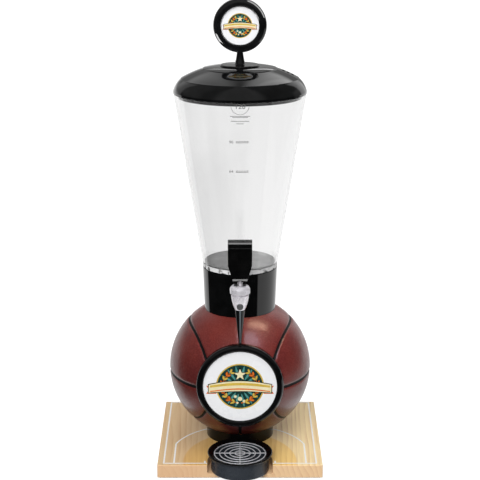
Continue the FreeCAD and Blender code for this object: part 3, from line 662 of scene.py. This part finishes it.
def pressed_spring():
    """The valve spring's coils as a piece of their own, with the frame's node hidden."""
    coils = nodes["valve_spring"]
    bm = bmesh.new()
    bm.from_mesh(coils.data)
    bmesh.ops.transform(bm, matrix=coils.matrix_world, verts=bm.verts)
    bmesh.ops.remove_doubles(bm, verts=bm.verts, dist=0.001 * MM)
    piece = new_piece("spring_coils", bm, [coils.data.materials[0]], "tower")
    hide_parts("valve_spring")
    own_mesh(piece)


ball = pebbled_ball()
pressed_spring()
emblem("badge_emblem", "badge_disc", 1.2, True, "tower")
emblem("sign_emblem_front", "sign_disc_front", 0.6, True, "lid")
emblem("sign_emblem_back", "sign_disc_back", 0.6, False, "lid")
court_lines()
fill_marks()


# ---- studio ----

def glossy_world():
    """Light panels by direction: azimuth in degrees from the front (-Y) towards +X, elevation up."""
    world = bpy.data.worlds.new("studio")
    bpy.context.scene.world = world
    world.use_nodes = True
    sky = Nodes(world.node_tree)
    maths = sky.maths

    def window(source, low, high, soft):
        """1 between two limits, easing to 0 past them."""
        ends = []
        for start, end in ((low - soft, low + soft), (high + soft, high - soft)):
            ramp = sky.node("MapRange", interpolation_type="SMOOTHSTEP")
            for index, value in enumerate((source, start, end)):
                sky.feed(ramp, index, value)
            ends.append(ramp.outputs[0])
        return maths("MULTIPLY", *ends)

    split = sky.node("SeparateXYZ")
    sky.link(sky.node("TexCoord").outputs["Generated"], split.inputs[0])
    azimuth = maths("DEGREES", maths("ARCTAN2", split.outputs[0], maths("MULTIPLY", split.outputs[1], -1)))
    elevation = maths("DEGREES", maths("ARCSINE", split.outputs[2]))
    # Azimuth from, to and softness; elevation from, to and softness; strength.
    panels = [
        (58, 124, 1.5, -60, -12, 3, 1.0),
        (124, 185, 1.5, -60, -3, 4, 1.08),
        (108, 150, 5, -12, 20, 4, 0.15),
        (130, 158, 3, -3, 70, 4, 0.8),
        (-185, -120, 2, -60, 4, 4, 1.15),
        (-152, -124, 4, 4, 70, 4, 0.35),
        (-120, -75, 12, 10, 60, 12, 0.08),
        (-185, -140, 8, 12, 95, 10, 0.33),
        (140, 185, 8, 12, 95, 10, 0.33),
        (-45, 45, 10, 12, 95, 10, 0.33),
        (45, 140, 10, 12, 95, 10, 0.10),
        (-140, -45, 10, 12, 95, 10, 0.13),
        (150, 185, 4, -3, 12, 3, 0.3),
        (-185, -150, 4, 4, 12, 3, 0.3),
        (-185, -175, 2, 14.8, 17.6, 0.9, 0.95),
        (174, 179.1, 0.3, 14.8, 17.6, 0.9, 1.7),
        (-170, -150, 9, 27, 84, 5, 0.58),
        (150, 170, 9, 27, 84, 5, 1.35),
        (-185, 185, 2, -95, -40, 8, 1.0),
    ]
    total = 0.02
    for low, high, side_soft, bottom, top, soft, power in panels:
        lit = maths("MULTIPLY", window(azimuth, low, high, side_soft), window(elevation, bottom, top, soft))
        total = maths("ADD", total, maths("MULTIPLY", lit, power))
    # The camera sees plain white, and the same white dimmed where it looks low through clear plastic.
    path = sky.node("LightPath")
    through = maths("MULTIPLY", path.outputs["Is Transmission Ray"], window(elevation, -90, 9, 1))
    hidden = maths("SUBTRACT", 1.0, maths("MAXIMUM", path.outputs["Is Camera Ray"], through))
    seen = maths("MAXIMUM", path.outputs["Is Camera Ray"], maths("MULTIPLY", through, THROUGH))
    total = maths("ADD", maths("MULTIPLY", total, hidden), seen)
    background = sky.tree.nodes["Background"]
    background.inputs["Color"].default_value = (1, 1, 1, 1)
    sky.link(total, background.inputs["Strength"])


def paper_floor():
    """White paper, bright where it is looked at; mirror rays pass it and meet the light panels."""
    reach, glow_strength = 30, 0.93
    mesh = bpy.data.meshes.new("floor")
    mesh.from_pydata([(-reach, -reach, 0), (reach, -reach, 0), (reach, reach, 0), (-reach, reach, 0)],
                     [], [(0, 1, 2, 3)])
    floor = bpy.data.objects.new("floor", mesh)
    bpy.context.scene.collection.objects.link(floor)
    paper = Surface("floor_paper", (0.30, 0.30, 0.30), 0.7)
    paper.colour(paper.blend(paper.spread(paper.noise(3, 4), 0, 1), (0.29, 0.29, 0.29), (0.31, 0.31, 0.31)))
    path = paper.node("LightPath")
    through = paper.maths("MULTIPLY", path.outputs["Is Transmission Ray"], THROUGH)
    seen = paper.maths("MAXIMUM", path.outputs["Is Camera Ray"], through)
    glow = paper.node("Emission")
    glow.inputs["Color"].default_value = (1, 1, 1, 1)
    paper.link(paper.maths("MULTIPLY", seen, glow_strength), glow.inputs["Strength"])
    both = paper.node("AddShader")
    paper.link(paper.shader.outputs[0], both.inputs[0])
    paper.link(glow.outputs[0], both.inputs[1])
    mix = paper.node("MixShader")
    mirrored = paper.maths("SUBTRACT", path.outputs["Is Glossy Ray"], path.outputs["Is Transmission Ray"])
    paper.link(mirrored, mix.inputs[0])
    paper.link(both.outputs[0], mix.inputs[1])
    paper.link(paper.node("BsdfTransparent").outputs[0], mix.inputs[2])
    output = next(node for node in paper.tree.nodes if node.type == "OUTPUT_MATERIAL")
    paper.link(mix.outputs[0], output.inputs["Surface"])
    mesh.materials.append(paper.material)


def softbox(name, at, towards, size, power, colour=(1, 1, 1), only=()):
    """A lamp in metres and watts; one kept for some pieces shows in their gloss and lights nothing else."""
    light = bpy.data.lights.new(name, "AREA")
    light.shape = "RECTANGLE"
    light.size, light.size_y = size
    light.energy = power
    light.color = colour
    lamp = bpy.data.objects.new(name, light)
    bpy.context.scene.collection.objects.link(lamp)
    lamp.location = at
    lamp.rotation_euler = (Vector(towards) - Vector(at)).to_track_quat("-Z", "Y").to_euler()
    lamp.visible_camera = False
    lamp.visible_transmission = False
    lamp.visible_glossy = bool(only)
    if only:
        light.use_shadow = False
        group = bpy.data.collections.new(name + "_pieces")
        for piece in only:
            group.objects.link(piece)
        lamp.light_linking.receiver_collection = group


def camera():
    """Straight in front, tilted down; metres, degrees and millimetres of focal length."""
    back, up, down, focal = 1.80272, 0.813294, 15.313756, 97.12
    lens = bpy.data.cameras.new("camera")
    lens.sensor_width = 36
    lens.lens = focal
    eye = bpy.data.objects.new("camera", lens)
    bpy.context.scene.collection.objects.link(eye)
    eye.location = (0, -back, up)
    eye.rotation_euler = (math.radians(90 - down), 0, 0)
    bpy.context.scene.camera = eye


glossy_world()
paper_floor()
softbox("front_fill", (-0.5, -2.2, 1.5), (0, 0, 0.3), (1.4, 1.4), 50)
softbox("overhead", (0.2, -0.5, 2.2), (0, 0, 0.2), (1.4, 1.4), 17)
softbox("ball_warm", (0.36, -0.01, 1.02), (0.03, -0.06, 0.21), (0.18, 0.42), 4.3, (1, 0.66, 0.46), [ball])
softbox("ball_cool", (0.25, -0.50, 0.93), (0.02, -0.08, 0.19), (0.4, 0.4), 3.4, (0.86, 0.84, 1), [ball])
sign_frames = [nodes["sign_frame_front"], nodes["sign_frame_back"]]
softbox("sign_under", (-0.17, -0.07, 0.33), (-0.02, -0.01, 0.60), (0.30, 0.50), 7.0, only=sign_frames)
softbox("sign_over", (0.33, -0.05, 0.93), (0.02, -0.01, 0.65), (0.25, 0.5), 4.0, only=sign_frames)
softbox("handle_strip", (0, -0.46, 0.84), (0, -0.12, 0.33), (0.5, 0.3), 2.6, only=[nodes["tap_handle"]])
softbox("spout_strip", (0.05, -0.58, -0.02), (0, -0.1, 0.23), (0.4, 0.4), 1.6,
        (0.8, 0.93, 1), [nodes["spout"]])
camera()
